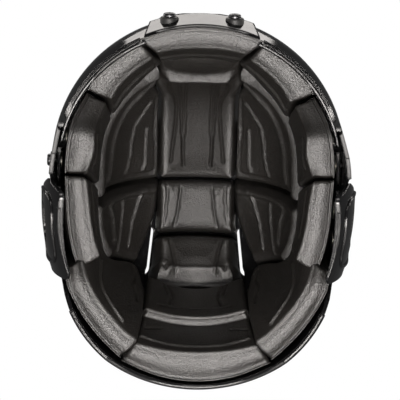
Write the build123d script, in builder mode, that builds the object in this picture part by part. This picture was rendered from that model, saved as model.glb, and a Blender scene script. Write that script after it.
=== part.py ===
"""Ice hockey helmet with a two-piece adjustable shell, moulded foam liner and ear guards.

The helmet stands on its temple legs and nape as on a shelf, brow towards -Y.
The front shell slides forwards over the rear shell to set the head size.
Every shell face and liner face is one of a family of nested domes, so pieces
that lie on each other take their shape from the same values.
"""

import os
from functools import cache
from math import cos, radians, sin, sqrt, tan

from build123d import *

# Shell form: a dome, round at brow and nape, straight at the temples, widest at the belt
shell_half_width = 110.5
shell_half_length = 139.0
brow_flat_reach = 137.0
crown_height = 166.0
belt_height = 72.0
fullness_share = 0.6
lean_radius = 45.0
brow_lean = 12.0
nape_lean = 5.0
leg_lean = 1.5

# Shell walls and the slide between the two shells
front_wall = 3.0
rear_wall = 2.8
shell_gap = 0.6
slide_travel = 16.0
tongue_length = 38.0
tongue_low_height = 68.0

# Side view of the rim and of the seam between the two shells
brow_rim_height = 44.0
leg_front_reach = 60.0
leg_foot_front = 50.0
leg_foot_rear = 35.0
seam_low_height = 22.0
seam_low_reach = 29.0
seam_ear_height = 62.0
seam_ear_reach = 9.0
seam_high_height = 100.0
seam_high_reach = 2.0
ear_arch_height = 50.0
ear_arch_front = 14.0
ear_arch_rear = 48.0
nape_front_reach = 58.0
nape_front_height = 8.0
nape_flat_reach = 104.0
nape_rear_height = 17.0

# Raised brow panel, raised spine and vents
brow_panel_rise = 2.6
brow_panel_half_width = 38.0
brow_panel_top_half_width = 30.0
brow_panel_top = 88.0
brow_panel_corner = 6.0
spine_rise = 2.2
spine_half_width = 27.0
spine_corner = 18.0
spine_front_reach = 108.0
spine_rear_start = 12.0
spine_rear_reach = 112.0
crown_vent_width = 10.0
crown_vent_length = 38.0
crown_vent_reach = 62.0
crown_vent_offset = 40.0
crown_vent_angle = 12.0
temple_vent_width = 7.0
temple_vent_length = 26.0
temple_vent_reach = 62.0
temple_vent_offset = 90.0
temple_vent_angle = 24.0
rear_vent_width = 9.0
rear_vent_length = 38.0
rear_vent_reach = 62.0
rear_vent_offset = 40.0
rear_vent_angle = -6.0
side_vent_width = 8.0
side_vent_length = 30.0
side_vent_reach = 34.0
side_vent_height = 100.0

# Head cavity that the liner leaves free: a dome over a flared mouth
cavity_half_width = 73.5
cavity_half_length = 95.0
cavity_shift = 8.0
cavity_height = 146.0
mouth_flare = 8.0
flare_centre = 60.0
flare_foot_radius = 59.7
flare_top_radius = 40.5
flare_top_height = 92.0

# Liner pads: layers, gaps and feet
liner_clearance = 0.4
pad_gap = 1.6
face_layer = 4.0
face_margin = 2.2
groove_width = 2.4
channel_angle = 9.0
crown_channel_reach = 48.0
crown_channel_length = 66.0
mid_channel_length = 26.0
brow_pad_foot = 47.0
side_pad_foot = 22.0
rear_pad_foot = 11.0
crease_front_height = 92.0
crease_temple_reach = 60.0
crease_temple_height = 80.0
crease_side_height = 67.0
occipital_top_height = 112.0

# Liner pads: seams in plan, seen from below
crown_strip_half_width = 28.5
crown_rear_half_width = 33.0
crown_wing_half_width = 36.0
crown_mid_reach = 43.5
crown_rear_reach = 79.5
wing_rear_reach = 62.0
wing_waist_reach = 52.0
wing_waist_half_width = 68.0
pad_step = 8.0
brow_seam_outer = 43.0
brow_seam_inner = 28.0
brow_seam_reach = 120.0
temple_seam_middle_reach = 92.0
temple_seam_outer_reach = 84.0
temple_seam_inner_reach = 62.0
ear_seam_outer_reach = 38.0
ear_seam_inner_reach = 26.0
rear_seam_outer = 60.0
rear_seam_inner = 36.0

# Ear guards
guard_wall = 3.0
guard_gap = 0.1
guard_reach = 116.0
guard_round = 70.0
guard_end_drop = 11.0
guard_half_length = 58.0
guard_shift = 0.0
guard_height = 45.0
guard_foot = 3.0
guard_top = 82.0
guard_rear = 46.0
guard_seam_gap = 2.0
guard_corner = 11.0
guard_round_corner = 6.0
guard_hole_length = 30.0
guard_hole_height = 24.0
guard_hole_shift = 9.0
guard_hole_centre = 36.0
guard_hole_corner = 9.0

# Screws, washers and tee nuts
screw_radius = 2.0
thread_fit = 0.05
shank_clearance = 0.3
head_radius = 4.6
head_height = 2.6
head_round_share = 0.6
recess_width = 1.1
recess_length = 5.0
recess_depth = 1.3
nut_flange_radius = 7.0
nut_flange_wall = 1.2
nut_barrel_radius = 2.9
nut_fit = 0.05
pocket_clearance = 0.6
boss_radius = 8.2
nut_seat_gap = 0.6
lock_screw_reach = 29.0
lock_washer_wall = 1.0
lock_washer_radius = 6.4
lock_washer_gap = 0.1
guard_screw_front = 6.0
guard_screw_rear = 29.0
spot_face_margin = 1.2
brow_screw_offset = 24.0
brow_screw_height = 61.0
brow_washer_radius = 6.8
brow_washer_rise = 3.2
brow_boss_rise = 5.0
brow_nut_reach = 1.8
visor_nut_reach = 50.0
visor_nut_height = 57.0
visor_boss_face = 99.0
visor_bore_radius = 1.7
visor_barrel_length = 5.0

# Common allowances
overrun = 12.0
ground = -6.0

# Values that follow from the sizes above
rear_face = front_wall + shell_gap
rear_back = rear_face + rear_wall
front_liner_inset = front_wall + liner_clearance
rear_liner_inset = rear_back + liner_clearance
seam = [
    (-leg_foot_rear, ground),
    (-seam_low_reach, seam_low_height),
    (-seam_ear_reach, seam_ear_height),
    (seam_high_reach, seam_high_height),
    (seam_high_reach, crown_height + overrun),
]
far = shell_half_length + overrun


def profile(radius, top, lean, lean_radius):
    """Half section of a dome: a full crown curve over the belt, and a skirt that leans."""
    bend = lean_radius if lean > 0 else 0
    low_x = radius - bend * (1 - cos(radians(lean)))
    low_z = belt_height - bend * sin(radians(lean))
    foot_x = low_x - (low_z - ground) * tan(radians(lean))
    rise = top - belt_height
    Bezier((radius, belt_height), (radius, belt_height + fullness_share * rise),
           (fullness_share * radius, top), (0, top))
    if bend:
        CenterArc((radius - bend, belt_height), bend, -lean, lean)
    Polyline((low_x, low_z), (foot_x, ground), (0, ground), (0, top))


@cache
def dome(half_width, half_length, top, lean=0, lean_radius=0):
    """Solid under a dome: round at brow and nape, and straight between them."""
    straight = half_length - half_width
    with BuildPart() as form:
        for side in (-1, 1):
            middle = Plane(origin=(0, side * straight, 0), x_dir=(1, 0, 0), z_dir=(0, -1, 0))
            with BuildSketch(middle):
                with BuildLine():
                    profile(half_width, top, lean, lean_radius)
                make_face()
            revolve(axis=Axis((0, side * straight, 0), (0, 0, 1)))
        with BuildSketch(Plane.XZ):
            with BuildLine():
                profile(half_width, top, lean, lean_radius)
            make_face()
            mirror(about=Plane.YZ)
        extrude(amount=straight, both=True)
    return form.part


@cache
def shell_form(inset, lean):
    """The helmet's dome, drawn in by an inset, with its flat brow."""
    reach = brow_flat_reach - inset
    with BuildPart() as form:
        add(dome(shell_half_width - inset, shell_half_length - inset, crown_height - inset,
                 lean, lean_radius))
        with BuildSketch(Plane.XY.offset(ground)):
            with Locations((0, far / 2 - reach / 2)):
                Rectangle(2 * far, far + reach)
        extrude(amount=crown_height + overrun - ground, mode=Mode.INTERSECT)
    return form.part


def cavity_form(margin):
    """The space for the head, grown by a margin into the liner, with its flared brow."""
    with BuildPart() as form:
        bowl = dome(cavity_half_width + margin, cavity_half_length + margin,
                    cavity_height + margin, -mouth_flare, 0)
        add(bowl.moved(Location((0, -cavity_shift, 0))))
        with BuildSketch(Plane.XZ.offset(flare_centre)):
            Polygon((0, brow_rim_height), (flare_foot_radius + margin, brow_rim_height),
                    (flare_top_radius + margin, flare_top_height), (0, flare_top_height),
                    align=None)
        revolve(axis=Axis((0, -flare_centre, 0), (0, 0, 1)))
    return form.part


def side_prism(points, gap=0, corner=0):
    """A prism across the helmet whose side view is a polygon of (y, z) points."""
    with BuildPart() as prism:
        with BuildSketch(Plane.YZ) as view:
            Polygon(*points, align=None)
            if gap:
                offset(amount=-gap, kind=Kind.INTERSECTION)
            if corner:
                fillet(view.vertices(), corner)
        extrude(amount=far, both=True)
    return prism.part


def plan_prism(points, gap=0):
    """An upright prism whose plan is a polygon of (x, y) points."""
    with BuildPart() as prism:
        with BuildSketch(Plane.XY.offset(ground)):
            Polygon(*points, align=None)
            if gap:
                offset(amount=-gap, kind=Kind.INTERSECTION)
        extrude(amount=crown_height + overrun - ground)
    return prism.part


def flipped(piece):
    """The left-hand twin of a right-hand piece."""
    return mirror(piece, about=Plane.YZ)


def slots(width, length, places, height=0):
    """Upright slot cutters: places are (x, y, angle), each slot long across the front to back."""
    with BuildPart() as cutters:
        for x, y, angle in places:
            with BuildSketch(Plane.XY.offset(height)):
                with Locations(Location((x, y, 0), (0, 0, 90 + angle))):
                    SlotOverall(length, width)
        extrude(amount=crown_height + overrun - height)
    return cutters.part


def side_bars(places, radius, length=0):
    """Cutters along X through both temples: places are (y, z), slots run rearward by a length."""
    with BuildPart() as bars:
        for y, z in places:
            with BuildSketch(Plane.YZ):
                with Locations((y + length / 2, z)):
                    if length:
                        SlotCenterToCenter(length, 2 * radius)
                    else:
                        Circle(radius)
        extrude(amount=far, both=True)
    return bars.part


def draw_in(height, lean):
    """How far a leaning skirt is drawn in at a height below the belt."""
    drop = belt_height - height
    bend_drop = lean_radius * sin(radians(lean))
    if drop <= bend_drop:
        return lean_radius - sqrt(lean_radius**2 - drop**2)
    return lean_radius * (1 - cos(radians(lean))) + (drop - bend_drop) * tan(radians(lean))


def seam_at(height):
    """Station of the seam between the shells at a height."""
    for (low_y, low_z), (high_y, high_z) in zip(seam, seam[1:]):
        if low_z <= height <= high_z:
            return low_y + (high_y - low_y) * (height - low_z) / (high_z - low_z)
    return seam_high_reach


lock_places = [(-lock_screw_reach, belt_height)]
guard_places = [(guard_screw_front, belt_height), (guard_screw_rear, belt_height)]
visor_place = [(-visor_nut_reach, visor_nut_height)]
nut_face = shell_half_width - rear_back - nut_seat_gap
brow_radius = shell_half_width + brow_panel_rise - draw_in(brow_screw_height, brow_lean)
brow_seat = shell_half_length - shell_half_width + sqrt(brow_radius**2 - brow_screw_offset**2)
brow_wall = brow_panel_rise + front_wall + brow_boss_rise
brow_boss_face = brow_seat - brow_wall
brow_places = [(-brow_screw_offset, brow_screw_height), (brow_screw_offset, brow_screw_height)]


# Shells


def make_front_shell():
    """Front shell: brow band, crown, temple legs, raised spine, vents and inner bosses."""
    top = crown_height + overrun
    brow_zone = [(-far, brow_rim_height), (-leg_front_reach, brow_rim_height),
                 (-leg_front_reach, top), (-far, top)]
    leg_zone = [(-leg_front_reach, brow_rim_height), (-leg_foot_front, 0), (-leg_foot_rear, 0)]
    leg_zone = leg_zone + seam[1:] + [(-leg_front_reach, top)]
    web_zone = [(-leg_front_reach - front_wall, brow_rim_height),
                (-leg_front_reach, brow_rim_height),
                (-leg_front_reach, belt_height), (-leg_front_reach - front_wall, belt_height)]
    band = shell_form(0, brow_lean) - shell_form(front_wall, brow_lean)
    leg = shell_form(0, leg_lean) - shell_form(front_wall, leg_lean)
    web = shell_form(0, leg_lean) - shell_form(front_wall, brow_lean)
    with BuildPart() as shell:
        add(band & side_prism(brow_zone))
        add(leg & side_prism(leg_zone))
        add(web & side_prism(web_zone))
        add(spine(-spine_front_reach, seam_high_reach, 0))
        add(brow_panel())
        add(brow_bosses() & shell_form(front_wall / 2, brow_lean))
        add(visor_bosses() & shell_form(front_wall / 2, leg_lean))
        add(crown_vents(), mode=Mode.SUBTRACT)
        add(side_bars(lock_places, screw_radius + shank_clearance, slide_travel), mode=Mode.SUBTRACT)
        add(brow_holes(), mode=Mode.SUBTRACT)
        add(side_bars([(-visor_nut_reach, visor_nut_height)], nut_barrel_radius + nut_fit),
            mode=Mode.SUBTRACT)
    return shell.part


def spine(start, end, inset):
    """Raised band along the middle of the crown, between two stations."""
    with BuildPart() as band:
        add(shell_form(inset - spine_rise, nape_lean))
        add(shell_form(inset + rear_wall / 2, nape_lean), mode=Mode.SUBTRACT)
        with BuildSketch(Plane.XY.offset(belt_height)):
            with Locations((0, (start + end) / 2)):
                RectangleRounded(2 * spine_half_width, end - start, spine_corner)
        extrude(amount=crown_height + overrun, mode=Mode.INTERSECT)
    return band.part


def brow_panel():
    """Raised panel across the brow, where the brow screws sit."""
    with BuildPart() as panel:
        add(shell_form(-brow_panel_rise, brow_lean))
        add(shell_form(front_wall / 2, brow_lean), mode=Mode.SUBTRACT)
        with BuildSketch(Plane.XZ.offset(leg_front_reach)) as view:
            Polygon((-brow_panel_half_width, brow_rim_height),
                    (brow_panel_half_width, brow_rim_height),
                    (brow_panel_top_half_width, brow_panel_top),
                    (-brow_panel_top_half_width, brow_panel_top), align=None)
            fillet(view.vertices().group_by(Axis.Z)[-1], brow_panel_corner)
        extrude(amount=far, mode=Mode.INTERSECT)
    return panel.part


def crown_vents():
    """Cutters for the two crown vents and the two temple vents."""
    with BuildPart() as cutters:
        for side in (-1, 1):
            add(slots(crown_vent_width, crown_vent_length,
                      [(side * crown_vent_offset, -crown_vent_reach, side * crown_vent_angle)],
                      belt_height))
            add(slots(temple_vent_width, temple_vent_length,
                      [(side * temple_vent_offset, -temple_vent_reach, side * temple_vent_angle)],
                      belt_height))
    return cutters.part


def brow_bosses():
    """Pads of plastic behind the brow screws, ending in a flat face for the nuts."""
    with BuildPart() as bosses:
        with BuildSketch(Plane.XZ.offset(brow_boss_face)):
            with Locations(*brow_places):
                Circle(boss_radius)
        extrude(amount=far - brow_boss_face)
    return bosses.part


def brow_holes():
    """Cutters for the nut barrels behind the brow screws."""
    with BuildPart() as holes:
        with BuildSketch(Plane.XZ.offset(brow_boss_face - overrun)):
            with Locations(*brow_places):
                Circle(nut_barrel_radius + nut_fit)
        extrude(amount=far - brow_boss_face + overrun)
    return holes.part


def visor_bosses():
    """Pads of plastic behind the visor nuts, ending in a flat face on each side."""
    with BuildPart() as bosses:
        with BuildSketch(Plane.YZ.offset(visor_boss_face)):
            with Locations((-visor_nut_reach, visor_nut_height)):
                Circle(boss_radius)
        extrude(amount=far - visor_boss_face)
        mirror(about=Plane.YZ)
    return bosses.part


def make_rear_shell():
    """Rear shell: tongue under the front shell, ear arches, nape, spine and vents."""
    top = crown_height + overrun
    tongue_top = seam_high_reach - tongue_length
    tongue_ear = -seam_ear_reach - tongue_length
    outline = [
        (tongue_ear, tongue_low_height),
        (-ear_arch_front, tongue_low_height),
        (-ear_arch_front, ear_arch_height),
        (ear_arch_rear, ear_arch_height),
        (nape_front_reach, nape_front_height),
        (nape_front_reach + nape_front_height, 0),
        (nape_flat_reach, 0),
        (far, nape_rear_height),
        (far, top),
        (tongue_top, top),
        (tongue_top, seam_high_height),
    ]
    with BuildPart() as shell:
        add(shell_form(rear_face, nape_lean))
        add(shell_form(rear_back, nape_lean), mode=Mode.SUBTRACT)
        add(side_prism(outline), mode=Mode.INTERSECT)
        add(spine(spine_rear_start, spine_rear_reach, rear_face))
        for side in (-1, 1):
            add(slots(rear_vent_width, rear_vent_length,
                      [(side * rear_vent_offset, rear_vent_reach, side * rear_vent_angle)],
                      belt_height), mode=Mode.SUBTRACT)
        add(side_bars([(side_vent_reach - side_vent_length / 2, side_vent_height)],
                      side_vent_width / 2, side_vent_length), mode=Mode.SUBTRACT)
        add(side_bars(lock_places + guard_places, nut_barrel_radius + nut_fit), mode=Mode.SUBTRACT)
    return shell.part


# Liner


def front_back_form():
    """Back of the front pads, thinned where the tongue of the rear shell slides past them."""
    travel = Location((0, slide_travel, 0))
    tongue_front = -seam_ear_reach - tongue_length - pad_gap
    head = [(-far, ground), (tongue_front, ground), (tongue_front, crown_height + overrun),
            (-far, crown_height + overrun)]
    thin = shell_form(rear_liner_inset, brow_lean)
    with BuildPart() as form:
        add(thin & thin.moved(travel))
        add(shell_form(front_liner_inset, brow_lean) & side_prism(head))
    return form.part


def rear_back_form():
    """Back of the rear pads: the nape's form, and the drawn-in form under the ear arches."""
    low = [(-far, ground), (ear_arch_rear, ground), (nape_front_reach, ear_arch_height),
           (nape_front_reach, belt_height), (-far, belt_height)]
    with BuildPart() as form:
        add(shell_form(rear_liner_inset, nape_lean))
        add(side_prism(low), mode=Mode.SUBTRACT)
        add(shell_form(rear_liner_inset, brow_lean) & side_prism(low))
    return form.part


cavity = cavity_form(0)
face_back = cavity_form(face_layer)
face_skin = face_back - cavity
front_back = front_back_form() - face_back
rear_back_layer = rear_back_form() - face_back


def make_pad(back, plan, view, pockets=None, grooves=None):
    """One pad: a backing layer to its full outline, and a face layer drawn in at its edges."""
    half_gap = pad_gap / 2
    with BuildPart() as face:
        add(face_skin)
        add(plan_prism(plan, half_gap + face_margin), mode=Mode.INTERSECT)
        add(side_prism(view, half_gap + face_margin), mode=Mode.INTERSECT)
        if grooves:
            add(grooves, mode=Mode.SUBTRACT)
    with BuildPart() as pad:
        add(back)
        add(plan_prism(plan, half_gap), mode=Mode.INTERSECT)
        add(side_prism(view, half_gap), mode=Mode.INTERSECT)
        add(face.part)
        if pockets:
            add(pockets, mode=Mode.SUBTRACT)
    return pad.part


def above_crease(front_reach, rear_reach):
    """Side view of what lies above the crease, between two stations."""
    top = crown_height + overrun
    return [(front_reach, crease_front_height), (-crease_temple_reach, crease_temple_height),
            (seam_high_reach, crease_side_height), (rear_reach, crease_side_height),
            (rear_reach, top), (front_reach, top)]


def brow_pockets():
    """Room behind the brow screws for their bosses and nuts."""
    with BuildPart() as pockets:
        with BuildSketch(Plane.XZ.offset(brow_boss_face - nut_flange_wall - pocket_clearance)):
            with Locations(*brow_places):
                Circle(boss_radius + pocket_clearance)
        extrude(amount=far - brow_boss_face)
    return pockets.part


def side_pockets(places, face):
    """Room in the pads for nuts whose flanges lie on the face at a distance from the middle."""
    with BuildPart() as pockets:
        with BuildSketch(Plane.YZ.offset(face - nut_flange_wall - pocket_clearance)):
            with Locations(*places):
                Circle(boss_radius + pocket_clearance)
        extrude(amount=far - face)
        mirror(about=Plane.YZ)
    return pockets.part


@cache
def nut_room():
    """Room in the side pads for the nuts: slots for the lock nuts, and rounds for the guard nuts."""
    depth = nut_face - nut_flange_wall - pocket_clearance
    radius = nut_flange_radius + pocket_clearance
    with BuildPart() as pockets:
        with BuildSketch(Plane.YZ.offset(depth)):
            with Locations(*[(y + slide_travel / 2, z) for y, z in lock_places]):
                SlotCenterToCenter(slide_travel, 2 * radius)
            with Locations(*guard_places):
                Circle(radius)
        extrude(amount=far - depth)
        mirror(about=Plane.YZ)
    return pockets.part


def make_brow_pad():
    """Brow pad, across the forehead."""
    outer, inner = brow_seam_outer, brow_seam_inner
    plan = [(-outer, -far), (outer, -far), (outer, -brow_seam_reach),
            (inner, -temple_seam_middle_reach), (-inner, -temple_seam_middle_reach),
            (-outer, -brow_seam_reach)]
    view = [(-far, brow_pad_foot), (-crease_temple_reach, brow_pad_foot),
            (-crease_temple_reach, crease_temple_height), (-far, crease_front_height)]
    return make_pad(front_back, plan, view, brow_pockets())


def make_temple_pad():
    """Right temple pad, between the brow pad and the side pad."""
    plan = [(brow_seam_outer, -far), (far, -far), (far, -temple_seam_outer_reach),
            (0, -temple_seam_inner_reach), (0, -temple_seam_middle_reach),
            (brow_seam_inner, -temple_seam_middle_reach), (brow_seam_outer, -brow_seam_reach)]
    view = [(-far, brow_pad_foot), (0, brow_pad_foot), (0, crease_temple_height),
            (-crease_temple_reach, crease_temple_height), (-far, crease_front_height)]
    return make_pad(front_back, plan, view, side_pockets(visor_place, visor_boss_face))


def make_side_pad():
    """Right side pad, above and ahead of the ear."""
    plan = [(far, -temple_seam_outer_reach), (far, far), (0, far), (0, -temple_seam_inner_reach)]
    view = [(-far, side_pad_foot), (-seam_low_reach, seam_low_height),
            (-seam_ear_reach, seam_ear_height), (-seam_ear_reach, crease_side_height),
            (-crease_temple_reach, crease_temple_height), (-far, crease_front_height)]
    return make_pad(front_back, plan, view, visor_and_nut_room())


def visor_and_nut_room():
    """Room in the side pad for the visor nut and the sliding lock nuts."""
    with BuildPart() as pockets:
        add(side_pockets(visor_place, visor_boss_face))
        add(nut_room())
    return pockets.part


def make_crown_front_centre_pad():
    """Middle strip of the front crown, with its air channels."""
    half = crown_strip_half_width
    plan = [(-half, -far), (half, -far), (half, seam_high_reach), (-half, seam_high_reach)]
    channels = [(side * half / 3, -crown_channel_reach, 0) for side in (-1, 1)]
    grooves = slots(groove_width, crown_channel_length, channels, belt_height)
    return make_pad(front_back, plan, above_crease(-far, seam_high_reach), None, grooves)


def make_crown_front_side_pad():
    """Right side of the front crown, an arch down to the crease."""
    half = crown_strip_half_width
    plan = [(half, -far), (far, -far), (far, seam_high_reach), (half, seam_high_reach)]
    half_step = (cavity_half_width - half) / 3
    channels = [(half + step * half_step, -crown_channel_reach, step * channel_angle)
                for step in (1, 2)]
    grooves = slots(groove_width, crown_channel_length, channels, belt_height)
    return make_pad(front_back, plan, above_crease(-far, seam_high_reach), nut_room(), grooves)


def make_crown_mid_pad():
    """Middle of the crown, just behind the seam."""
    half = crown_strip_half_width
    plan = [(-half, seam_high_reach), (half, seam_high_reach), (half, crown_mid_reach),
            (-half, crown_mid_reach)]
    middle = (seam_high_reach + crown_mid_reach) / 2
    channels = [(side * half / 2, middle, 0) for side in (-1, 1)]
    grooves = slots(groove_width, mid_channel_length, channels, belt_height)
    return make_pad(rear_back_layer, plan, above_crease(seam_high_reach, crown_mid_reach), None,
                    grooves)


def make_crown_rear_pad():
    """Rear of the crown strip, above the nape."""
    half = crown_rear_half_width
    plan = [(-half, crown_mid_reach), (half, crown_mid_reach), (half, crown_rear_reach),
            (-half, crown_rear_reach)]
    return make_pad(rear_back_layer, plan, above_crease(crown_mid_reach, crown_rear_reach))


def make_crown_rear_side_pad():
    """Right side of the rear crown, from the seam back to the occipital pad."""
    half = crown_strip_half_width
    plan = [(half, seam_high_reach), (far, seam_high_reach), (far, wing_waist_reach),
            (wing_waist_half_width, wing_waist_reach), (crown_wing_half_width + pad_step,
             wing_rear_reach), (crown_wing_half_width, crown_mid_reach), (half, crown_mid_reach)]
    step = (cavity_half_width - half) / 3
    middle = (seam_high_reach + wing_waist_reach) / 2
    channels = [(half + step, middle, -channel_angle), (half + 2 * step, middle, -channel_angle)]
    grooves = slots(groove_width, mid_channel_length, channels, belt_height)
    return make_pad(rear_back_layer, plan, above_crease(seam_high_reach, far), nut_room(),
                    grooves)


def make_ear_pad():
    """Right pad over the ear, under the ear arch."""
    plan = [(0, -far), (far, -far), (far, ear_seam_outer_reach), (0, ear_seam_inner_reach)]
    view = [(-seam_low_reach, seam_low_height), (far, seam_low_height), (far, crease_side_height),
            (-seam_ear_reach, crease_side_height), (-seam_ear_reach, seam_ear_height)]
    return make_pad(rear_back_layer, plan, view, nut_room())


def make_occipital_pad():
    """Right pad behind the ear, down to the nape."""
    outer = (rear_seam_outer, far)
    inner = (rear_seam_inner, crown_rear_reach)
    plan = [(0, ear_seam_inner_reach), (far, ear_seam_outer_reach), (far, far), outer, inner,
            (crown_wing_half_width + pad_step, wing_rear_reach),
            (wing_waist_half_width, wing_waist_reach)]
    view = [(ear_seam_inner_reach, side_pad_foot), (nape_front_reach, rear_pad_foot),
            (far, rear_pad_foot), (far, occipital_top_height),
            (wing_rear_reach, occipital_top_height), (wing_waist_reach, crease_side_height),
            (ear_seam_inner_reach, crease_side_height)]
    return make_pad(rear_back_layer, plan, view, nut_room())


def make_rear_pad():
    """Pad at the back of the head, from the crown to the nape."""
    plan = [(-rear_seam_inner, crown_rear_reach), (rear_seam_inner, crown_rear_reach),
            (rear_seam_outer, far), (-rear_seam_outer, far)]
    view = [(crown_rear_reach, rear_pad_foot), (far, rear_pad_foot),
            (far, crown_height + overrun), (crown_rear_reach, crown_height + overrun)]
    channels = [(side * rear_seam_inner / 3, crown_rear_reach, 0) for side in (-1, 0, 1)]
    grooves = slots(groove_width, mid_channel_length, channels, belt_height)
    return make_pad(rear_back_layer, plan, view, None, grooves)


# Ear guards


def barrel(inset):
    """Bulging form of the right ear guard: an arc turned about a line along the helmet."""
    axis_x = guard_reach - guard_round
    with BuildPart() as form:
        with BuildSketch(Plane.XY.offset(guard_height)):
            with BuildLine():
                ends = [(guard_reach - guard_end_drop, guard_shift - guard_half_length),
                        (guard_reach - inset, guard_shift),
                        (guard_reach - guard_end_drop, guard_shift + guard_half_length)]
                arc = ThreePointArc(*ends)
                Polyline(arc @ 1, (axis_x, arc.position_at(1).Y), (axis_x, arc.position_at(0).Y),
                         arc @ 0)
            make_face()
        revolve(axis=Axis((axis_x, 0, guard_height), (0, 1, 0)))
    return form.part


def make_ear_guard():
    """Right ear guard: a bulging shield under the ear arch, with a flange and a sound hole."""
    outline = [(seam_at(guard_foot) + guard_seam_gap + guard_corner, guard_foot),
               (seam_at(seam_low_height) + guard_seam_gap, seam_low_height),
               (seam_at(seam_ear_height) + guard_seam_gap, seam_ear_height),
               (seam_at(guard_top) + guard_seam_gap, guard_top),
               (guard_rear - guard_corner, guard_top),
               (guard_rear, guard_height),
               (guard_rear, guard_foot)]
    seat = shell_half_width - rear_face + guard_gap
    face = seat + guard_wall
    with BuildPart() as guard:
        add(barrel(0))
        add(barrel(guard_wall), mode=Mode.SUBTRACT)
        with BuildSketch(Plane.YZ.offset(seat)):
            with Locations((0, (ear_arch_height + guard_top) / 2)):
                Rectangle(2 * far, guard_top - ear_arch_height + 2 * guard_wall)
        extrude(amount=guard_wall)
        add(side_prism(outline, 0, guard_round_corner), mode=Mode.INTERSECT)
        with BuildSketch(Plane.XY.offset(ear_arch_height - guard_wall)):
            Rectangle(2 * seat, 2 * far)
        extrude(amount=guard_top, mode=Mode.SUBTRACT)
        with BuildSketch(Plane.XY.offset(ground)):
            with Locations((-far, 0)):
                Rectangle(2 * far, 2 * far)
        extrude(amount=guard_top + overrun, mode=Mode.SUBTRACT)
        add(side_bars(guard_places, screw_radius + shank_clearance), mode=Mode.SUBTRACT)
        with BuildSketch(Plane.YZ.offset(face)):
            with Locations(*guard_places):
                Circle(head_radius + spot_face_margin)
        extrude(amount=far, mode=Mode.SUBTRACT)
        with BuildSketch(Plane.YZ):
            with Locations((guard_hole_shift, guard_hole_centre)):
                RectangleRounded(guard_hole_length, guard_hole_height, guard_hole_corner)
        extrude(amount=far, mode=Mode.SUBTRACT)
    return guard.part


# Fasteners


def tee_nut(length, bore):
    """Tee nut about its own axis: flange below the origin plane, barrel above it."""
    with BuildPart() as nut:
        Cylinder(nut_flange_radius, nut_flange_wall, align=(Align.CENTER, Align.CENTER, Align.MAX))
        Cylinder(nut_barrel_radius, length, align=(Align.CENTER, Align.CENTER, Align.MIN))
        chamfer(nut.faces().sort_by(Axis.Z)[0].edges(), nut_flange_wall / 3)
        with Locations((0, 0, length)):
            Hole(bore, length + nut_flange_wall)
    return nut.part


def screw(length):
    """Pan head screw about its own axis: head above the origin plane, shank below it."""
    with BuildPart() as bolt:
        Cylinder(head_radius, head_height, align=(Align.CENTER, Align.CENTER, Align.MIN))
        fillet(bolt.faces().sort_by(Axis.Z)[-1].edges(), head_height * head_round_share)
        Cylinder(screw_radius, length, align=(Align.CENTER, Align.CENTER, Align.MAX))
        with BuildSketch(Plane.XY.offset(head_height)):
            Rectangle(recess_length, recess_width)
            Rectangle(recess_width, recess_length)
        extrude(amount=-recess_depth, mode=Mode.SUBTRACT)
    return bolt.part


def washer(radius, wall):
    """Flat washer about its own axis, above the origin plane."""
    with BuildPart() as ring:
        Cylinder(radius, wall, align=(Align.CENTER, Align.CENTER, Align.MIN))
        chamfer(ring.faces().sort_by(Axis.Z)[-1].edges(), wall / 3)
        Hole(screw_radius + thread_fit)
    return ring.part


def outward(place, reach):
    """Plane on the right side, facing outwards at a distance from the middle."""
    y, z = place
    return Plane(origin=(reach, y, z), x_dir=(0, 1, 0), z_dir=(1, 0, 0))


def forward(place, reach):
    """Plane at the brow, facing forwards at a distance from the middle."""
    x, z = place
    return Plane(origin=(x, -reach, z), x_dir=(1, 0, 0), z_dir=(0, -1, 0))


def placed(piece, planes):
    """Copies of a piece on each plane."""
    return [plane.location * piece for plane in planes]


def both_sides(piece, places, reach):
    """Copies of a piece facing outwards on both sides."""
    right = placed(piece, [outward(place, reach) for place in places])
    return right + [flipped(item) for item in right]


def make_brow_washers():
    """Domed rubber washers under the brow screws, seated on the curved brow."""
    seat = brow_seat - overrun
    top = brow_seat + brow_washer_rise
    with BuildPart() as ring:
        Cylinder(brow_washer_radius, top - seat, align=(Align.CENTER, Align.CENTER, Align.MIN))
        fillet(ring.faces().sort_by(Axis.Z)[-1].edges(), brow_washer_rise / 2)
        Hole(screw_radius + thread_fit)
    rings = placed(ring.part, [forward(place, seat) for place in brow_places])
    body = shell_form(-brow_panel_rise - thread_fit, brow_lean)
    return [item - body for item in rings]


def keep(name, solids):
    """Write one node, a single solid or a group, with the helmet centred from brow to nape."""
    with BuildPart() as node:
        add(solids)
    node.part = node.part.moved(Location((0, centre_shift, 0)))
    node.part.label = name
    export_step(node.part, "parts/" + name + ".step")


def keep_pair(name, piece):
    """Write a right-hand piece and its left-hand twin."""
    keep(name + "_right", piece)
    keep(name + "_left", flipped(piece))


brow_head_reach = brow_seat + brow_washer_rise
centre_shift = (brow_head_reach + head_height - (shell_half_length - rear_face)) / 2
os.makedirs("parts", exist_ok=True)

keep("front_shell", make_front_shell())
keep("rear_shell", make_rear_shell())
keep("brow_pad", make_brow_pad())
keep("rear_pad", make_rear_pad())
keep("crown_front_centre_pad", make_crown_front_centre_pad())
keep("crown_mid_pad", make_crown_mid_pad())
keep("crown_rear_pad", make_crown_rear_pad())
keep_pair("temple_pad", make_temple_pad())
keep_pair("side_pad", make_side_pad())
keep_pair("ear_pad", make_ear_pad())
keep_pair("occipital_pad", make_occipital_pad())
keep_pair("crown_front_side_pad", make_crown_front_side_pad())
keep_pair("crown_rear_side_pad", make_crown_rear_side_pad())
keep_pair("ear_guard", make_ear_guard())

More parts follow.
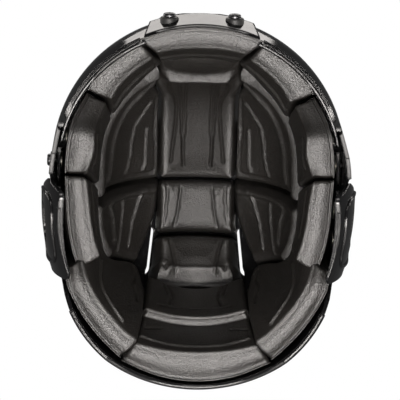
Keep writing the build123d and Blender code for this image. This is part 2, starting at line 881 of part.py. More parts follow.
lock_head_reach = shell_half_width + lock_washer_gap + lock_washer_wall
rear_nut = tee_nut(rear_wall, screw_radius + thread_fit)
keep("lock_screws", both_sides(screw(lock_head_reach - nut_face + nut_flange_wall), lock_places,
                               lock_head_reach))
keep("lock_washers", both_sides(washer(lock_washer_radius, lock_washer_wall), lock_places,
                                shell_half_width + lock_washer_gap))
keep("lock_nuts", both_sides(rear_nut, lock_places, nut_face))

guard_head_reach = shell_half_width - rear_face + guard_gap + guard_wall
keep("guard_screws", both_sides(screw(guard_head_reach - nut_face + nut_flange_wall), guard_places,
                                guard_head_reach))
keep("guard_nuts", both_sides(rear_nut, guard_places, nut_face))

brow_screw = screw(brow_head_reach - brow_boss_face + nut_flange_wall)
brow_nut = tee_nut(brow_wall - brow_nut_reach, screw_radius + thread_fit)
keep("brow_screws", placed(brow_screw, [forward(p, brow_head_reach) for p in brow_places]))
keep("brow_washers", make_brow_washers())
keep("brow_nuts", placed(brow_nut, [forward(p, brow_boss_face) for p in brow_places]))
keep("visor_nuts", both_sides(tee_nut(visor_barrel_length, visor_bore_radius), visor_place,
                              visor_boss_face))
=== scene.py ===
"""Dressed model of an ice hockey helmet: gloss shells, moulded foam liner, ear guards and screws.

All sizes are millimetres in the helmet's own axes: X to the wearer's left and right, Y from brow
to nape, Z from the rim to the crown. They are moved by frame_shift and turned to metres when a
mesh is made, which puts each piece where its CAD node is. The floor and lamps alone are in metres.
"""

import math

import bpy
import numpy as np
from mathutils import Matrix, Vector


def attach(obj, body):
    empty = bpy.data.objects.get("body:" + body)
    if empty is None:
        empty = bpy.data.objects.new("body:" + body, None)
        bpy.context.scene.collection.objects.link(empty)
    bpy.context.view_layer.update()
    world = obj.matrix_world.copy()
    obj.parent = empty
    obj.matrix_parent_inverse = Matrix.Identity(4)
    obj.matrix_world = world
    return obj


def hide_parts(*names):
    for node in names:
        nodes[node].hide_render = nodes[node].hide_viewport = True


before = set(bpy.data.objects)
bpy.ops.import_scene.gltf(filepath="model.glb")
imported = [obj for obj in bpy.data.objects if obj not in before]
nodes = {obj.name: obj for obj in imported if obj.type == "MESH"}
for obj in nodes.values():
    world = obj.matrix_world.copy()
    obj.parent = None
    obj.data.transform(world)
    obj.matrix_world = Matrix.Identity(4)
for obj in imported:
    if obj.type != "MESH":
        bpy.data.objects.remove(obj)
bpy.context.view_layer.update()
millimetre = 0.001
frame_shift = 4.03


# Shells
# The two halves of the outer shell are injection-moulded polyethylene. The front one slides over
# a tongue of the rear one. Both keep their CAD meshes and take a polished black finish.

def linear(code):
    """An sRGB hex code as a linear colour with alpha 1."""
    channels = np.array([int(code[i:i + 2], 16) for i in (1, 3, 5)]) / 255
    low, high = channels / 12.92, ((channels + 0.055) / 1.055) ** 2.4
    return (*np.where(channels <= 0.04045, low, high), 1.0)


def add_node(tree, kind, settings=None, links=None):
    """One shader node: settings fill its sockets or attributes, links join its sockets."""
    node = tree.nodes.new(kind)
    for name, value in (settings or {}).items():
        if isinstance(name, str) and hasattr(node, name):
            setattr(node, name, value)
        else:
            node.inputs[name].default_value = value
    for name, socket in (links or {}).items():
        tree.links.new(socket, node.inputs[name])
    return node


def new_material(name):
    """An empty node material, and its tree and surface output."""
    material = bpy.data.materials.new(name)
    material.use_nodes = True
    tree = material.node_tree
    tree.nodes.clear()
    return material, tree, tree.nodes.new("ShaderNodeOutputMaterial")


def gloss_plastic(name, gleam, smoothest, roughest):
    """Injection-moulded plastic, polished black: a deep mirror, a faint orange peel that bends
    reflections, edges that catch a thin light, and fine rub marks that dull it here and there."""
    material, tree, output = new_material(name)
    place = add_node(tree, "ShaderNodeTexCoord").outputs["Object"]
    peel = add_node(tree, "ShaderNodeTexNoise", {"Scale": 1 / (9 * millimetre), "Detail": 1.0},
                    {"Vector": place})
    rubs = add_node(tree, "ShaderNodeTexNoise", {"Scale": 1 / (14 * millimetre), "Detail": 5.0,
                    "Roughness": 0.65}, {"Vector": place})
    dull = add_node(tree, "ShaderNodeMapRange", {"From Min": 0.42, "From Max": 0.72,
                    "To Min": smoothest, "To Max": roughest}, {"Value": rubs.outputs["Fac"]})
    tone = add_node(tree, "ShaderNodeMix", {"data_type": "RGBA", 6: linear("#0b0b0c"),
                    7: linear("#171718")}, {0: rubs.outputs["Fac"]})
    eased = add_node(tree, "ShaderNodeBevel", {"Radius": 1.9 * millimetre})
    bump = add_node(tree, "ShaderNodeBump", {"Strength": 0.12, "Distance": 0.3 * millimetre},
                    {"Height": peel.outputs["Fac"], "Normal": eased.outputs["Normal"]})
    shader = add_node(tree, "ShaderNodeBsdfPrincipled", {"IOR": 1.5,
                      "Specular IOR Level": gleam},
                      {"Base Color": tone.outputs[2], "Roughness": dull.outputs["Result"],
                       "Normal": bump.outputs["Normal"]})
    tree.links.new(shader.outputs["BSDF"], output.inputs["Surface"])
    return material


def finish_node(name, material):
    """Gives a CAD node its material."""
    mesh = nodes[name].data
    mesh.materials.clear()
    mesh.materials.append(material)


shell_black = gloss_plastic("polished_black_polyethylene", 0.16, 0.08, 0.22)
for shell in ("front_shell", "rear_shell"):
    finish_node(shell, shell_black)


# Rim mouldings and rolled edges
# Three fine mouldings run along the front shell's rim on each side of the brow, and a thin rolled
# edge ends that rim and the nape's. All are glossy black plastic, moulded with the shells.

rim_height = 44.0
rim_radius = 105.6
rim_centre = -28.5
rim_lean = math.tan(math.radians(12.0))


def rim_points(angles, heights, proud):
    """Places on the front shell's leaning wall: the radius grows by the lean's tangent with the
    height, on the round end whose centre lies on the middle line."""
    radius = rim_radius + (heights - rim_height) * rim_lean + proud
    return np.stack([radius * np.sin(angles), rim_centre - radius * np.cos(angles),
                     heights + 0 * angles], -1)


def grid_faces(rows, columns, closed, start=0):
    """Quads between the rows of a grid, joined round the columns where closed."""
    index = np.arange(rows * columns).reshape(rows, columns) + start
    right = np.roll(index, -1, axis=1) if closed else index[:, 1:]
    left = index if closed else index[:, :-1]
    return np.stack([left[:-1], right[:-1], right[1:], left[1:]], -1).reshape(-1, 4)


def make_piece(name, vertices, faces, material, mirrored=False):
    """A smooth mesh piece from millimetre vertices, with its faces turned outwards: their signed
    volume, a sixth of the sum of corner triple products, comes out positive."""
    points = np.array(vertices)
    if mirrored:
        points[:, 0] *= -1
    faces = np.asarray(faces)
    a, b, c, d = (points[faces[:, corner]] for corner in range(4))
    volume = np.einsum("ij,ij->", a, np.cross(b, c)) + np.einsum("ij,ij->", a, np.cross(c, d))
    if volume < 0:
        faces = faces[:, ::-1]
    points = (points + (0, frame_shift, 0)) * millimetre
    rows = [list(dict.fromkeys(face)) for face in faces.tolist()]
    mesh = bpy.data.meshes.new(name)
    mesh.from_pydata(points.tolist(), [], rows)
    mesh.shade_smooth()
    mesh.materials.append(material)
    piece = bpy.data.objects.new(name, mesh)
    bpy.context.scene.collection.objects.link(piece)
    return piece


def bead(path, radius, closed=False):
    """A bead of round section along a line of points: each ring stands across the line's run, and
    starts level. An open bead is shut by a fan of faces at each end."""
    run = np.roll(path, -1, 0) - np.roll(path, 1, 0) if closed else np.gradient(path, axis=0)
    run = run / np.linalg.norm(run, axis=1, keepdims=True)
    nearly_up = (0.02, 0.03, 1.0)
    side = np.cross(run, nearly_up)
    side /= np.linalg.norm(side, axis=1, keepdims=True)
    rise = np.cross(side, run)
    sides = 10
    turn = np.linspace(0, 2 * math.pi, sides, endpoint=False)[None, :, None]
    rings = path[:, None] + radius * (np.cos(turn) * side[:, None] + np.sin(turn) * rise[:, None])
    vertices = np.vstack([rings.reshape(-1, 3), path[:1], path[-1:]])
    rows = np.arange(sides * len(path)).reshape(-1, sides)
    if closed:
        vertices, rows = vertices[:-2], np.vstack([rows, rows[:1]])
    else:
        start = np.full((1, sides), sides * len(path))
        rows = np.vstack([start, rows, start + 1])
    ahead = np.roll(rows, -1, 1)
    faces = np.stack([rows[:-1], ahead[:-1], ahead[1:], rows[1:]], -1).reshape(-1, 4)
    return vertices, faces


def trim_pair(name, body, mesh, material):
    """A trim piece on the right and its twin on the left."""
    for side, mirrored in (("right", False), ("left", True)):
        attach(make_piece(name + "_" + side, *mesh, material, mirrored), body)


rim_black = gloss_plastic("glossy_black_polyethylene", 0.55, 0.06, 0.16)

moulding_heights = (45.0, 48.0, 51.0)
moulding_radius = 0.65
moulding_proud = 0.15
around = np.radians(np.linspace(25, 69, 60))
for line, height in enumerate(moulding_heights):
    trim_pair(f"rim_moulding_{line + 1}", "front",
              bead(rim_points(around, height, moulding_proud), moulding_radius), rim_black)

roll_height = 44.4
roll_radius = 1.7
roll_proud = -1.5
around = np.radians(np.linspace(23, 79, 80))
trim_pair("rim_roll", "front", bead(rim_points(around, roll_height, roll_proud), roll_radius),
          rim_black)

nape_radius = 99.6
nape_centre = 28.5
nape_height = 1.2
nape_flat_reach = 104.0
nape_slope = 0.362
nape_roll_radius = 2.1
around = np.radians(np.linspace(-67, 67, 160))
nape_y = nape_centre + nape_radius * np.cos(around)
nape_z = nape_height + np.maximum(nape_y - nape_flat_reach, 0) * nape_slope
nape_path = np.stack([nape_radius * np.sin(around), nape_y, nape_z], 1)
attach(make_piece("nape_rim_roll", *bead(nape_path, nape_roll_radius), rim_black), "rear")


# Brow band
# A raised band of the shell's own plastic, which stiffens the brow under the two screws. It
# narrows upwards, its edges fall off in a curve, and it is moulded with the shell.

band_half_angle = 23.8
band_narrowing = 3.5
band_lift = 0.4
band_tall = 27.0
band_proud = 2.9
band_sunk = 0.6
band_half_width = 40.0
band_face = 26.0
band_edge = 1.6
band_rows, band_columns = 24, 60

across, up = np.meshgrid(np.linspace(-1, 1, band_columns), np.linspace(0, 1, band_rows))
band_height = rim_height + band_lift + band_tall * up
band_angle = np.radians(band_half_angle - band_narrowing * up) * across
from_edge = np.minimum((1 - np.abs(across)) * band_half_width, np.minimum(up, 1 - up) * band_face)
proud = band_proud * (1 - np.clip(1 - from_edge / band_edge, 0, 1)**2)
outer = rim_points(band_angle, band_height, proud)
inner = rim_points(band_angle, band_height, 0 * proud - band_sunk)
count = across.size
index = np.arange(count).reshape(across.shape)
loop = np.concatenate([index[0], index[1:, -1], index[-1, -2::-1], index[-2:0:-1, 0]])
band_faces = np.vstack([grid_faces(band_rows, band_columns, False),
                        grid_faces(band_rows, band_columns, False, count)[:, ::-1],
                        np.stack([np.roll(loop, -1), loop, loop + count,
                                  np.roll(loop, -1) + count], 1)])
band = make_piece("brow_band", np.vstack([outer.reshape(-1, 3), inner.reshape(-1, 3)]),
                  band_faces, shell_black)
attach(band, "front")


# Screws, washers and nuts
# Black-oxide steel screws with nickel-plated tee nuts hold the shells and guards together, and
# domed rubber washers stand under the two brow screws. All of them keep their CAD meshes.

def plated_steel(name, colour, roughness):
    """Steel with a thin plating, turned on a lathe: a metal gleam with turning marks, drawn
    coarser than they are so that they show."""
    material, tree, output = new_material(name)
    place = add_node(tree, "ShaderNodeTexCoord").outputs["Object"]
    marks = add_node(tree, "ShaderNodeTexNoise", {"Scale": 1 / (0.8 * millimetre), "Detail": 3.0},
                     {"Vector": place})
    dull = add_node(tree, "ShaderNodeMapRange", {"To Min": roughness - 0.08,
                    "To Max": roughness + 0.12}, {"Value": marks.outputs["Fac"]})
    bump = add_node(tree, "ShaderNodeBump", {"Strength": 0.2, "Distance": 0.05 * millimetre},
                    {"Height": marks.outputs["Fac"]})
    shader = add_node(tree, "ShaderNodeBsdfPrincipled", {"Base Color": linear(colour),
                      "Metallic": 1.0}, {"Roughness": dull.outputs["Result"],
                      "Normal": bump.outputs["Normal"]})
    tree.links.new(shader.outputs["BSDF"], output.inputs["Surface"])
    return material


def moulded_rubber():
    """Moulded nitrile rubber: a soft black with a dull, broad sheen, and a grain drawn coarse
    enough to show."""
    material, tree, output = new_material("moulded_black_rubber")
    place = add_node(tree, "ShaderNodeTexCoord").outputs["Object"]
    skin = add_node(tree, "ShaderNodeTexNoise", {"Scale": 1 / (0.5 * millimetre), "Detail": 4.0},
                    {"Vector": place})
    dull = add_node(tree, "ShaderNodeMapRange", {"To Min": 0.38, "To Max": 0.6},
                    {"Value": skin.outputs["Fac"]})
    bump = add_node(tree, "ShaderNodeBump", {"Strength": 0.3, "Distance": 0.08 * millimetre},
                    {"Height": skin.outputs["Fac"]})
    shader = add_node(tree, "ShaderNodeBsdfPrincipled", {"Base Color": linear("#1a1a1a"),
                      "IOR": 1.5}, {"Roughness": dull.outputs["Result"],
                      "Normal": bump.outputs["Normal"]})
    tree.links.new(shader.outputs["BSDF"], output.inputs["Surface"])
    return material


screw_black = plated_steel("black_oxide_steel", "#4a4a4c", 0.3)
nut_nickel = plated_steel("nickel_plated_steel", "#77746e", 0.3)
washer_rubber = moulded_rubber()
for group in ("lock", "guard", "brow"):
    finish_node(group + "_screws", screw_black)
    finish_node(group + "_nuts", nut_nickel)
finish_node("visor_nuts", nut_nickel)
finish_node("lock_washers", washer_rubber)
finish_node("brow_washers", washer_rubber)


# Foam liner
# Separate pads of hot-pressed closed-cell foam, dark grey, with a closed grained skin, rounded
# edges and pressed ribs and channels. They are glued inside the shells, and lean on each other.

def grained_foam(name, smoothest, roughest, faintest, gleam, by_edge):
    """Hot-pressed closed-cell foam, dark warm grey: a fine leather grain, pale flecks, and a sheen
    that grows to a gleam where the skin is stretched. With by_edge that is round a pad's edge and
    on its ribs, as the mesh's stretch attribute says; else it is on the faces that look down. The
    foam's cells are drawn 1 mm wide, coarser than they are, so that they show."""
    material, tree, output = new_material(name)
    place = add_node(tree, "ShaderNodeTexCoord").outputs["Object"]
    grain = add_node(tree, "ShaderNodeTexNoise", {"Scale": 1 / (1.7 * millimetre),
                     "Detail": 2.0, "Roughness": 0.6}, {"Vector": place})
    cells = add_node(tree, "ShaderNodeTexNoise", {"Scale": 1 / (1.0 * millimetre), "Detail": 4.0,
                     "Roughness": 0.7}, {"Vector": place})
    swell = add_node(tree, "ShaderNodeTexNoise", {"Scale": 1 / (24 * millimetre), "Detail": 2.0},
                     {"Vector": place})
    tone = add_node(tree, "ShaderNodeMix", {"data_type": "RGBA", 6: linear("#171615"),
                    7: linear("#211f1d")}, {0: swell.outputs["Fac"]})
    fleck = add_node(tree, "ShaderNodeMapRange", {"From Min": 0.56, "From Max": 0.74},
                     {"Value": cells.outputs["Fac"]})
    flecked = add_node(tree, "ShaderNodeMix", {"data_type": "RGBA", 7: linear("#3a3632")},
                       {0: fleck.outputs["Result"], 6: tone.outputs[2]})
    dull = add_node(tree, "ShaderNodeMapRange", {"To Min": smoothest, "To Max": roughest},
                    {"Value": cells.outputs["Fac"]})
    height = add_node(tree, "ShaderNodeMath", {"operation": "ADD"},
                      {0: grain.outputs["Fac"], 1: cells.outputs["Fac"]})
    bump = add_node(tree, "ShaderNodeBump", {"Strength": 1.0, "Distance": 0.42 * millimetre},
                    {"Height": height.outputs["Value"]})
    if by_edge:
        tight = add_node(tree, "ShaderNodeAttribute", {"attribute_name": "stretch"})
        sheen = add_node(tree, "ShaderNodeMapRange", {"To Min": faintest, "To Max": gleam},
                         {"Value": tight.outputs["Fac"]})
    else:
        facing = add_node(tree, "ShaderNodeSeparateXYZ", {}, {"Vector": add_node(
                          tree, "ShaderNodeNewGeometry").outputs["Normal"]})
        sheen = add_node(tree, "ShaderNodeMapRange", {"From Min": -0.5, "From Max": -0.93,
                         "To Min": faintest, "To Max": gleam}, {"Value": facing.outputs["Z"]})
    shader = add_node(tree, "ShaderNodeBsdfPrincipled", {"IOR": 1.5},
                      {"Base Color": flecked.outputs[2], "Roughness": dull.outputs["Result"],
                       "Normal": bump.outputs["Normal"],
                       "Specular IOR Level": sheen.outputs["Result"]})
    tree.links.new(shader.outputs["BSDF"], output.inputs["Surface"])
    return material


def ease(share):
    """Smooth step from 0 to 1: 3s squared less 2s cubed, held flat outside."""
    share = np.clip(share, 0, 1)
    return share * share * (3 - 2 * share)


def curve(points, count):
    """A smooth line through given points: Catmull-Rom spans, each a cubic whose slope at a
    point is half the step between its neighbours, then spread to equal steps of length."""
    points = np.asarray(points, float)
    ends = np.vstack([2 * points[0] - points[1], points, 2 * points[-1] - points[-2]])
    steps_per_span = 40
    t = np.linspace(0, len(points) - 1, steps_per_span * (len(points) - 1) + 1)
    span = np.minimum(t.astype(int), len(points) - 2)
    s = (t - span)[:, None]
    a, b, c, d = (ends[span + step] for step in range(4))
    line = b + 0.5 * s * (c - a + s * (2 * a - 5 * b + 4 * c - d + s * (3 * (b - c) + d - a)))
    gone = np.concatenate([[0], np.cumsum(np.linalg.norm(np.diff(line, axis=0), axis=1))])
    wanted = np.linspace(0, gone[-1], count)
    return np.stack([np.interp(wanted, gone, line[:, axis]) for axis in range(line.shape[1])], 1)


def distance_to(vertices, line):
    """Shortest distance from each vertex to a polyline: its projection on each span, clamped."""
    best = np.full(len(vertices), np.inf)
    for start, end in zip(line[:-1], line[1:]):
        step = end - start
        share = np.clip((vertices - start) @ step / (step @ step), 0, 1)
        best = np.minimum(best, np.linalg.norm(vertices - start - share[:, None] * step, axis=1))
    return best


def pressed(vertices, normals, marks):
    """Moves vertices along their normals by pressed marks: each is (line, width, rise), a ridge
    where rise is positive and a channel where it is negative, with a bell-shaped section. The
    line is first laid on the surface, by its nearest vertices, smoothed over five of them. Also
    returns how near each vertex is to a ridge's top, from 0 to 1."""
    ridge_spread = 0.4
    on_ridge = np.zeros(len(vertices))
    for line, width, rise in marks:
        wanted = curve(line, 60)
        square = ((wanted[:, None, :] - vertices[None, :, :]) ** 2).sum(-1)
        laid = vertices[square.argmin(1)]
        laid = np.stack([np.convolve(np.pad(laid[:, axis], 2, "edge"), np.full(5, 0.2), "valid")
                         for axis in range(3)], 1)
        gap = distance_to(vertices, curve(laid[::3], 40))
        bell = np.exp(-(gap / width) ** 2)
        vertices = vertices + normals * (rise * bell)[:, None]
        on_ridge = np.maximum(on_ridge, bell**ridge_spread if rise > 0 else 0)
    return vertices, on_ridge


def grid_normals(grid, closed):
    """Unit normals of a grid: the cross product of the steps along its rows and columns."""
    if closed:
        across = np.roll(grid, -1, 1) - np.roll(grid, 1, 1)
    else:
        across = np.gradient(grid, axis=1)
    normals = np.cross(across, np.gradient(grid, axis=0))
    return normals / np.maximum(np.linalg.norm(normals, axis=-1, keepdims=True), 1e-9)


def swept_mesh(rails, radii, bulges, marks):
    """Closed pad whose section is a polygon carried along rails: each corner of the section runs
    along its own smooth rail, and is rounded by a quadratic Bezier that starts and ends at its
    radius; each side is puffed by its bulge, 4s(1 - s) along it; both ends are rounded."""
    end_round = 3.0
    step = 1.1
    turn_steps = 7
    cap_steps = 5
    largest_cut = 0.45
    samples = 200
    lines = [curve(rail, samples) for rail in rails]
    length = np.mean([np.linalg.norm(np.diff(line, axis=0), axis=1).sum() for line in lines])
    margin = end_round / length
    wanted = np.linspace(margin, 1 - margin, max(int(length / step), 6)) * (samples - 1)
    corners = np.stack([np.stack([np.interp(wanted, np.arange(samples), line[:, axis])
                                  for axis in range(3)], 1) for line in lines])
    middle = corners.mean(0)
    back, ahead = np.roll(corners, 1, 0) - corners, np.roll(corners, -1, 0) - corners
    back_length = np.linalg.norm(back, axis=-1, keepdims=True)
    ahead_length = np.linalg.norm(ahead, axis=-1, keepdims=True)
    cut = np.minimum(np.reshape(radii, (-1, 1, 1)),
                     largest_cut * np.minimum(back_length, ahead_length))
    enter, leave = corners + back / back_length * cut, corners + ahead / ahead_length * cut
    turn = np.linspace(0, 1, turn_steps)[:, None, None]
    ring = []
    for i in range(len(corners)):
        ring.append((1 - turn)**2 * enter[i] + 2 * turn * (1 - turn) * corners[i]
                    + turn**2 * leave[i])
        side = enter[(i + 1) % len(corners)] - leave[i]
        side_length = np.linalg.norm(side, axis=-1)
        count = max(int(side_length.mean() / step), 2)
        s = np.linspace(0, 1, count + 1)[1:-1, None, None]
        outward = leave[i] + side / 2 - middle
        unit = side / np.maximum(side_length[:, None], 1e-9)
        outward = outward - unit * np.sum(outward * unit, -1, keepdims=True)
        outward /= np.maximum(np.linalg.norm(outward, axis=-1, keepdims=True), 1e-9)
        ring.append(leave[i] + s * side + 4 * s * (1 - s) * bulges[i] * outward)
    grid = np.concatenate(ring).transpose(1, 0, 2)
    caps = []
    for end, inner in ((grid[0], grid[1]), (grid[-1], grid[-2])):
        along = end.mean(0) - inner.mean(0)
        along /= np.linalg.norm(along)
        tangent = np.roll(end, -1, 0) - np.roll(end, 1, 0)
        inward = np.cross(along, tangent)
        inward /= np.maximum(np.linalg.norm(inward, axis=1, keepdims=True), 1e-9)
        if np.sum(inward * (end - end.mean(0))) > 0:
            inward = -inward
        angles = np.linspace(0, math.pi / 2, cap_steps)[1:]
        caps.append([end + along * end_round * math.sin(angle)
                     + inward * end_round * (1 - math.cos(angle)) for angle in angles])
    grid = np.concatenate([np.array(caps[0][::-1]), grid, np.array(caps[1])])
    normals = grid_normals(grid, True)
    outer = np.sum(normals * (grid - grid.mean((0, 1))))
    normals = normals if outer > 0 else -normals
    rows, columns = grid.shape[:2]
    vertices = pressed(grid.reshape(-1, 3), normals.reshape(-1, 3), marks)[0]
    first, last = vertices[:columns].mean(0), vertices[-columns:].mean(0)
    vertices = np.vstack([vertices, first, last])
    near = np.arange(columns)
    far_row = near + (rows - 1) * columns
    hub = np.full(columns, rows * columns)
    faces = np.vstack([grid_faces(rows, columns, True),
                       np.stack([hub, hub, np.roll(near, -1), near], 1),
                       np.stack([hub + 1, hub + 1, far_row, np.roll(far_row, -1)], 1)])
    return vertices, faces


# The head cavity's form, as in the CAD: a round dome over a flared mouth, straight between its
# two ends. Pads over the head are laid out on its skin unrolled flat: along a line from the top
# outwards, the distance on the chart is the distance on the skin.
cavity_half_width = 73.5
cavity_straight = 21.5
cavity_shift = 8.0
cavity_height = 146.0
belt_height = 72.0
fullness_share = 0.6
mouth_flare = math.radians(8.0)
steep_below = 122.0

bow = np.linspace(0, 1, 400)
crown_rise = cavity_height - belt_height
crown_out = cavity_half_width * ((1 - bow)**3 + 3 * bow * (1 - bow)**2
                                 + 3 * fullness_share * bow**2 * (1 - bow))
crown_up = belt_height + crown_rise * (3 * fullness_share * bow * (1 - bow)**2
                                       + 3 * bow**2 * (1 - bow) + bow**3)
skirt_up = np.linspace(belt_height, 0, 200)[1:]
skirt_out = cavity_half_width + (belt_height - skirt_up) * math.tan(mouth_flare)
skin_out = np.concatenate([crown_out[::-1], skirt_out])
skin_up = np.concatenate([crown_up[::-1], skirt_up])
skin_gone = np.concatenate([[0], np.cumsum(np.hypot(np.diff(skin_out), np.diff(skin_up)))])


def to_chart(points):
    """Helmet points on the cavity's skin to the flat chart: the way out from the middle line
    keeps its direction, and its length becomes the distance on the skin, read from the height
    where the skin is steep and from the way out near the top."""
    points = np.asarray(points, float)
    along = points[:, 1] + cavity_shift
    past = np.maximum(np.abs(along) - cavity_straight, 0)
    out = np.maximum(np.hypot(points[:, 0], past), 1e-6)
    low = np.interp(-points[:, 2], -skin_up, skin_gone)
    high = np.interp(out, skin_out, skin_gone)
    gone = np.where(points[:, 2] < steep_below, low, high)
    flat_along = np.sign(along) * (np.minimum(np.abs(along), cavity_straight) + past * gone / out)
    return np.stack([points[:, 0] * gone / out, flat_along], 1)


def on_skin(chart, lift):
    """Chart points back to helmet points, lifted off the skin towards the head by a distance."""
    past = np.maximum(np.abs(chart[..., 1]) - cavity_straight, 0)
    gone = np.maximum(np.hypot(chart[..., 0], past), 1e-6)
    out, up = np.interp(gone, skin_gone, skin_out), np.interp(gone, skin_gone, skin_up)
    slope_out = np.interp(gone, skin_gone, np.gradient(skin_out, skin_gone))
    slope_up = np.interp(gone, skin_gone, np.gradient(skin_up, skin_gone))
    out = out + lift * slope_up
    up = up - lift * slope_out
    side = np.sign(chart[..., 1])
    along = side * (np.minimum(np.abs(chart[..., 1]), cavity_straight) + out * past / gone)
    return np.stack([out * chart[..., 0] / gone, along - cavity_shift, up], -1)


def graded(length, edge, step):
    """Places from 0 to 1 along a side: quarter-circle steps over each rounded edge, then even."""
    arc_steps = 7
    turn = edge * (1 - np.cos(np.linspace(0, math.pi / 2, arc_steps)))
    middle = np.linspace(edge, length - edge, max(int((length - 2 * edge) / step), 2) + 1)
    return np.concatenate([turn[:-1], middle, length - turn[:-1][::-1]]) / length


def dome_mesh(front, rear, left, right, marks, edges, corner=4.5, puff=2.6, thin=12.0,
              thick=27.0, flare=0.0, sink=0.0, welt=0.0, sheen=0.25, dull_front=-6.0):
    """Closed pad on the cavity's skin: a Coons patch between four sides on the chart, its corners
    drawn in to quarter circles, its face rounded down at the edge as a quarter circle of each
    side's own radius (front, rear, left, right), puffed in the middle, raised in a welt along its
    front and right, and backed by a copy that lies further out by the liner's thickness and is
    wider by the flare's share. Also returns how stretched the skin is: the sheen's share in the
    middle, growing to 1 at the edge and on ridges, but not within dull_front of the front."""
    step = 0.9
    largest_share = 0.45
    deepest_drop = 9.0
    welt_place, welt_width = 5.0, 2.6
    puff_reach = 22.0
    thin_within, thick_over = 15.0, 95.0
    wall_shares = (0.12, 0.3, 0.6)
    stretched, fade = 1.0, 6.0
    samples = 120
    sides = [curve(to_chart(curve(side, samples // 2)), samples)
             for side in (front, rear, left, right)]
    width = np.mean([np.linalg.norm(np.diff(side, axis=0), axis=1).sum() for side in sides[:2]])
    length = np.mean([np.linalg.norm(np.diff(side, axis=0), axis=1).sum() for side in sides[2:]])
    u, v = np.meshgrid(graded(width, min(edges[2:]), step), graded(length, min(edges[:2]), step))
    share_u, share_v = min(corner / width, largest_share), min(corner / length, largest_share)
    a = np.clip((np.abs(2 * u - 1) - 1 + 2 * share_u) / (2 * share_u), 0, 1)
    b = np.clip((np.abs(2 * v - 1) - 1 + 2 * share_v) / (2 * share_v), 0, 1)
    u = u + np.sign(u - 0.5) * share_u * a * (np.sqrt(1 - b * b / 2) - 1)
    v = v + np.sign(v - 0.5) * share_v * b * (np.sqrt(1 - a * a / 2) - 1)

    def at(side, share):
        return np.stack([np.interp(share * (samples - 1), np.arange(samples), side[:, axis])
                         for axis in range(2)], -1)

    fore, aft, port, starboard = sides
    u3, v3 = u[..., None], v[..., None]
    chart = ((1 - v3) * at(fore, u) + v3 * at(aft, u) + (1 - u3) * at(port, v)
             + u3 * at(starboard, v) - (1 - u3) * (1 - v3) * fore[0] - u3 * (1 - v3) * fore[-1]
             - (1 - u3) * v3 * aft[0] - u3 * v3 * aft[-1])
    rows, columns = chart.shape[:2]
    index = np.arange(rows * columns).reshape(rows, columns)
    rim = np.concatenate([index[0], index[1:, -1], index[-1, -2::-1], index[-2:0:-1, 0]])
    flat = chart.reshape(-1, 2)
    gap = distance_to(flat, np.vstack([flat[rim], flat[rim[:1]]]))
    from_sides = [distance_to(flat, side[::4]) for side in sides]
    drop = np.zeros(len(flat))
    for from_side, radius in zip(from_sides, edges):
        near = np.maximum(radius - from_side, 0)
        drop = np.maximum(drop, radius - np.sqrt(np.maximum(radius**2 - near**2, 0)))
    drop = np.minimum(drop, deepest_drop)
    from_front = from_sides[0]
    from_rim = np.minimum(from_front, from_sides[3])
    raised = welt * np.exp(-((from_rim - welt_place) / welt_width)**2)
    face = on_skin(flat, puff * ease(gap / puff_reach) + raised - drop - sink)
    normals = -grid_normals(on_skin(chart, 0.0), False).reshape(-1, 3)
    inward = on_skin(flat, 1.0) - on_skin(flat, 0.0)
    normals = normals * np.sign(np.sum(normals * inward, 1, keepdims=True))
    face, on_ridge = pressed(face, normals, marks)
    gone = np.hypot(flat[:, 0], np.maximum(np.abs(flat[:, 1]) - cavity_straight, 0))
    depth = sink + thin + (thick - thin) * ease((gone - thin_within) / thick_over)
    back = on_skin(flat + flare * (flat - flat.mean(0)), -depth)
    walls = [face[rim] + share * (back[rim] - face[rim]) for share in wall_shares]
    count, around = len(flat), len(rim)
    vertices = np.vstack([face, back] + walls)
    loops = [rim] + [2 * count + level * around + np.arange(around) for level in range(len(walls))]
    loops.append(rim + count)
    faces = [grid_faces(rows, columns, False),
             grid_faces(rows, columns, False, count)[:, ::-1]]
    for upper, lower in zip(loops, loops[1:]):
        faces.append(np.stack([np.roll(upper, -1), upper, lower, np.roll(lower, -1)], 1))
    at_edge = (1 - ease((gap - stretched) / fade)) * ease((from_front - dull_front) / fade)
    stretch = sheen + (1 - sheen) * np.maximum(at_edge, on_ridge)
    return vertices, np.vstack(faces), np.append(stretch, np.ones(len(vertices) - count))


def foam_piece(name, body, node, mesh, mirrored=False):
    """Makes a pad of pressed foam and puts it in place of its CAD solid. A mesh of the crown's
    kind comes with its stretch, which goes into the attribute that its material reads."""
    vertices, faces, *stretch = mesh
    piece = make_piece(name, vertices, faces, crown_foam if stretch else thick_foam, mirrored)
    if stretch:
        attribute = piece.data.attributes.new("stretch", "FLOAT", "POINT")
        attribute.data.foreach_set("value", stretch[0])
    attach(piece, body)
    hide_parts(node)


def foam_pair(name, body, mesh):
    """The right-hand pad and its left-hand twin."""
    foam_piece(name + "_foam_right", body, name + "_pad_right", mesh)
    foam_piece(name + "_foam_left", body, name + "_pad_left", mesh, mirrored=True)


def on_both_sides(marks):
    """Marks and their mirror images."""
    return marks + [([(-x, y, z) for x, y, z in line], width, rise)
                    for line, width, rise in marks]


thick_foam = grained_foam("stretched_closed_cell_foam", 0.25, 0.38, 0.5, 1.0, False)
crown_foam = grained_foam("pressed_closed_cell_foam", 0.25, 0.38, 0.12, 1.0, True)


# Crown pads
# Three pads of pressed foam down the middle of the crown and two along each side, each a pillow
# with pressed channels or ribs that let air through. They are glued to the shells edge to edge.

